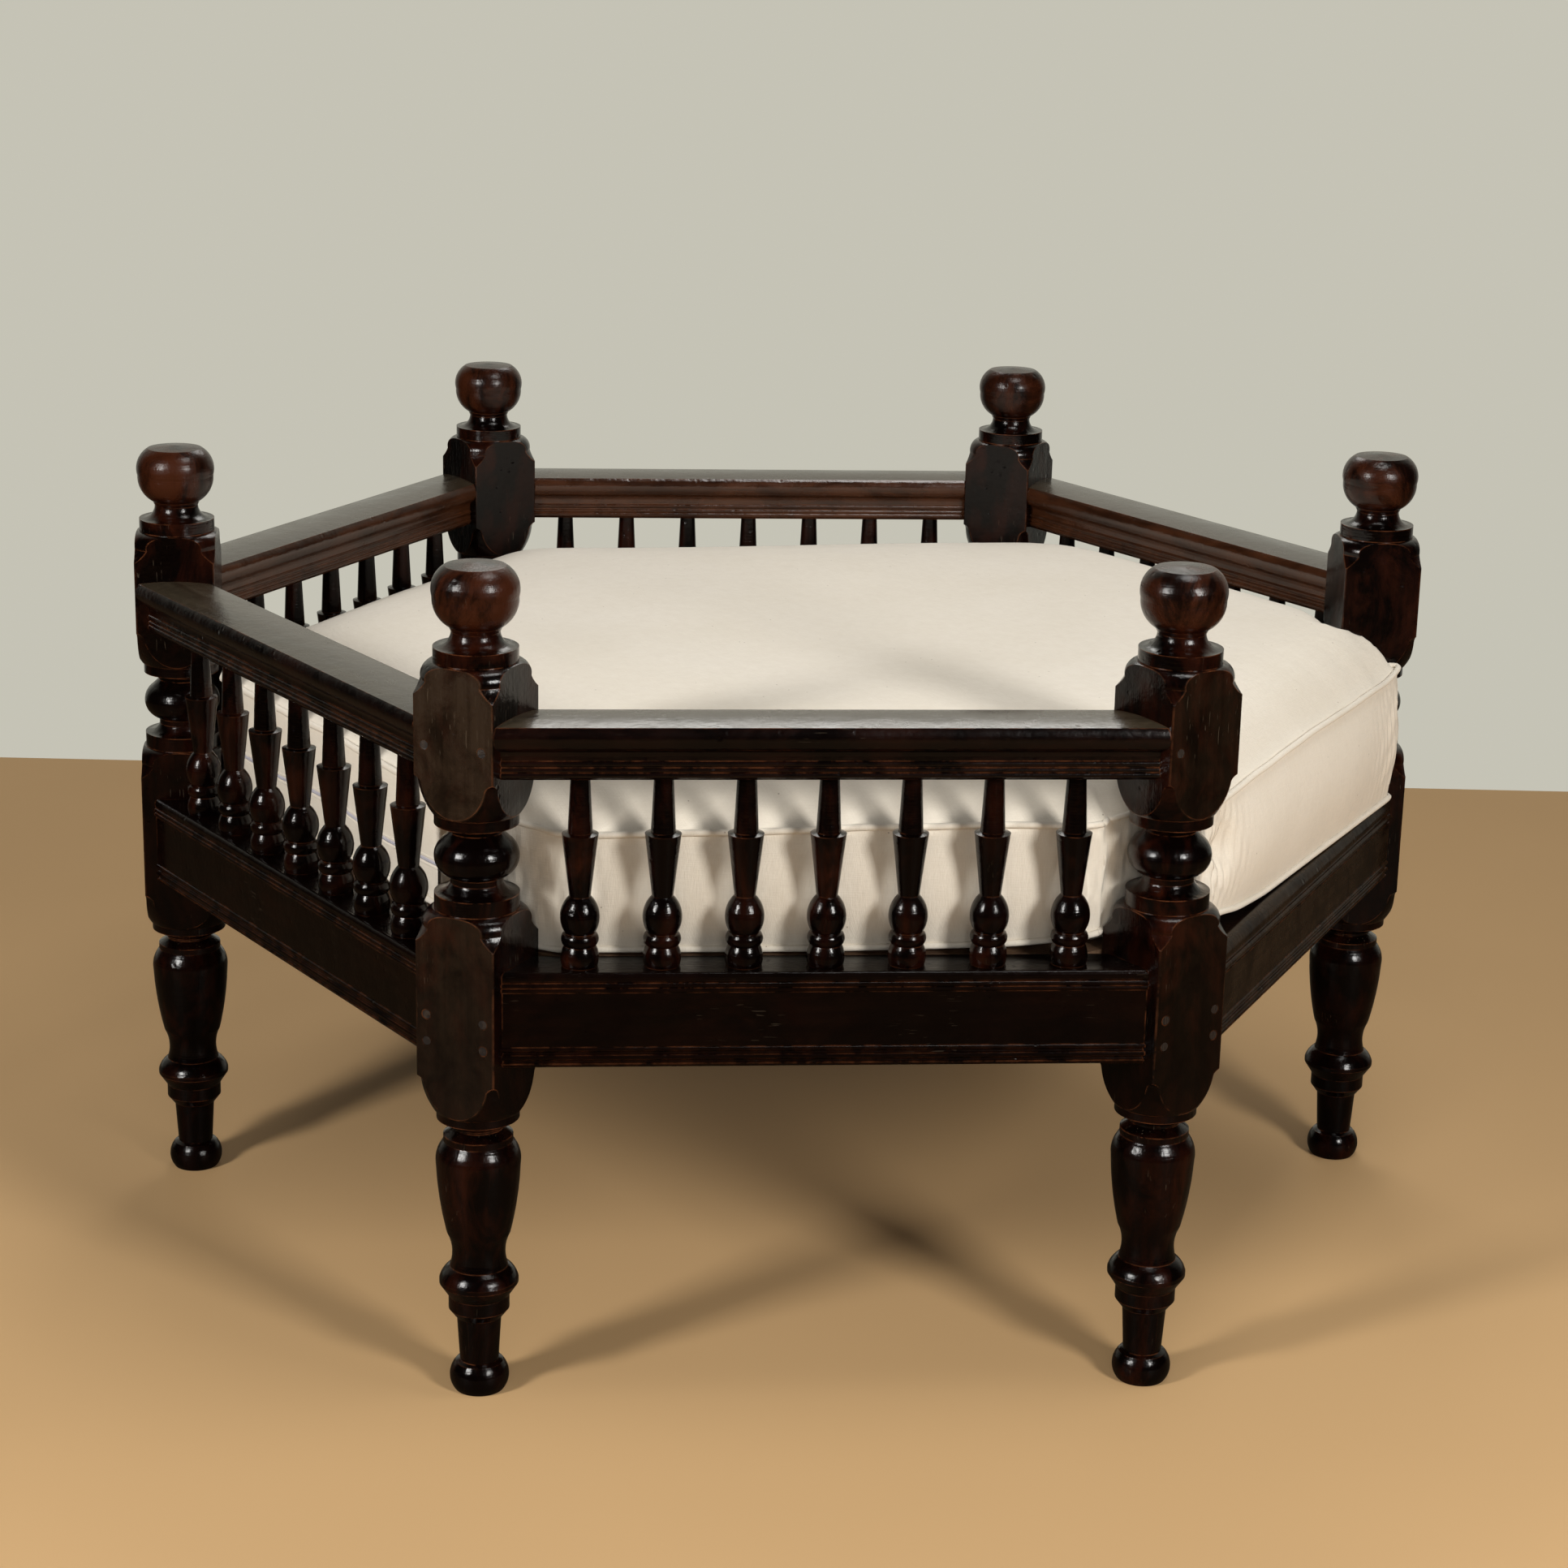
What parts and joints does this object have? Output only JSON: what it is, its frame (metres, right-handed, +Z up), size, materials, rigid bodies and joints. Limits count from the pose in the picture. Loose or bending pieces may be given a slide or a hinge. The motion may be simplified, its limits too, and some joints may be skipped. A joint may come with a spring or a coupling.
{
  "type": "meditation bench",
  "caption": "Six-sided hardwood bench with turned posts, a spindle gallery round an open front, and a loose box cushion.",
  "frame": {"origin": "middle of the six posts on the floor", "axes": "+Z up, +X to the right along the longest extent from the left post to the right post, -Y out of the open front"},
  "size_m": [1.265, 1.1328, 0.748],
  "materials": {
    "post_wood": "glossy dark shellac over dark hardwood, worn at the arrises",
    "rail_wood": "glossy dark shellac over dark hardwood",
    "spindle_wood": "glossy dark shellac over dark hardwood",
    "peg_wood": "dull end grain",
    "board_wood": "sawn and oiled",
    "cushion_cloth": "undyed cotton canvas"
  },
  "bodies": {
    "frame": {"post_front_right": "post_wood", "post_right": "post_wood", "post_back_right": "post_wood", "post_back_left": "post_wood", "post_left": "post_wood", "post_front_left": "post_wood", "seat_rail_front": "rail_wood", "seat_rail_front_right": "rail_wood", "seat_rail_back_right": "rail_wood", "seat_rail_back": "rail_wood", "seat_rail_back_left": "rail_wood", "seat_rail_front_left": "rail_wood", "top_rail_front_right": "rail_wood", "top_rail_back_right": "rail_wood", "top_rail_back": "rail_wood", "top_rail_back_left": "rail_wood", "top_rail_front_left": "rail_wood", "spindle_front_right_1": "spindle_wood", "spindle_front_right_2": "spindle_wood", "spindle_front_right_3": "spindle_wood", "spindle_front_right_4": "spindle_wood", "spindle_front_right_5": "spindle_wood", "spindle_front_right_6": "spindle_wood", "spindle_front_right_7": "spindle_wood", "spindle_back_right_1": "spindle_wood", "spindle_back_right_2": "spindle_wood", "spindle_back_right_3": "spindle_wood", "spindle_back_right_4": "spindle_wood", "spindle_back_right_5": "spindle_wood", "spindle_back_right_6": "spindle_wood", "spindle_back_right_7": "spindle_wood", "spindle_back_1": "spindle_wood", "spindle_back_2": "spindle_wood", "spindle_back_3": "spindle_wood", "spindle_back_4": "spindle_wood", "spindle_back_5": "spindle_wood", "spindle_back_6": "spindle_wood", "spindle_back_7": "spindle_wood", "spindle_back_left_1": "spindle_wood", "spindle_back_left_2": "spindle_wood", "spindle_back_left_3": "spindle_wood", "spindle_back_left_4": "spindle_wood", "spindle_back_left_5": "spindle_wood", "spindle_back_left_6": "spindle_wood", "spindle_back_left_7": "spindle_wood", "spindle_front_left_1": "spindle_wood", "spindle_front_left_2": "spindle_wood", "spindle_front_left_3": "spindle_wood", "spindle_front_left_4": "spindle_wood", "spindle_front_left_5": "spindle_wood", "spindle_front_left_6": "spindle_wood", "spindle_front_left_7": "spindle_wood", "tenon_pegs": "peg_wood", "seat_board_1": "board_wood", "seat_board_2": "board_wood", "seat_board_3": "board_wood", "seat_board_4": "board_wood", "seat_board_5": "board_wood", "seat_bearers": "board_wood"},
    "cushion": {"cushion": "cushion_cloth"}
  },
  "joints": [
    {"name": "cushion_lift", "type": "slide", "parent": "frame", "child": "cushion", "axis": [0, 0, 1], "range_m": [0, 0.36]}
  ]
}
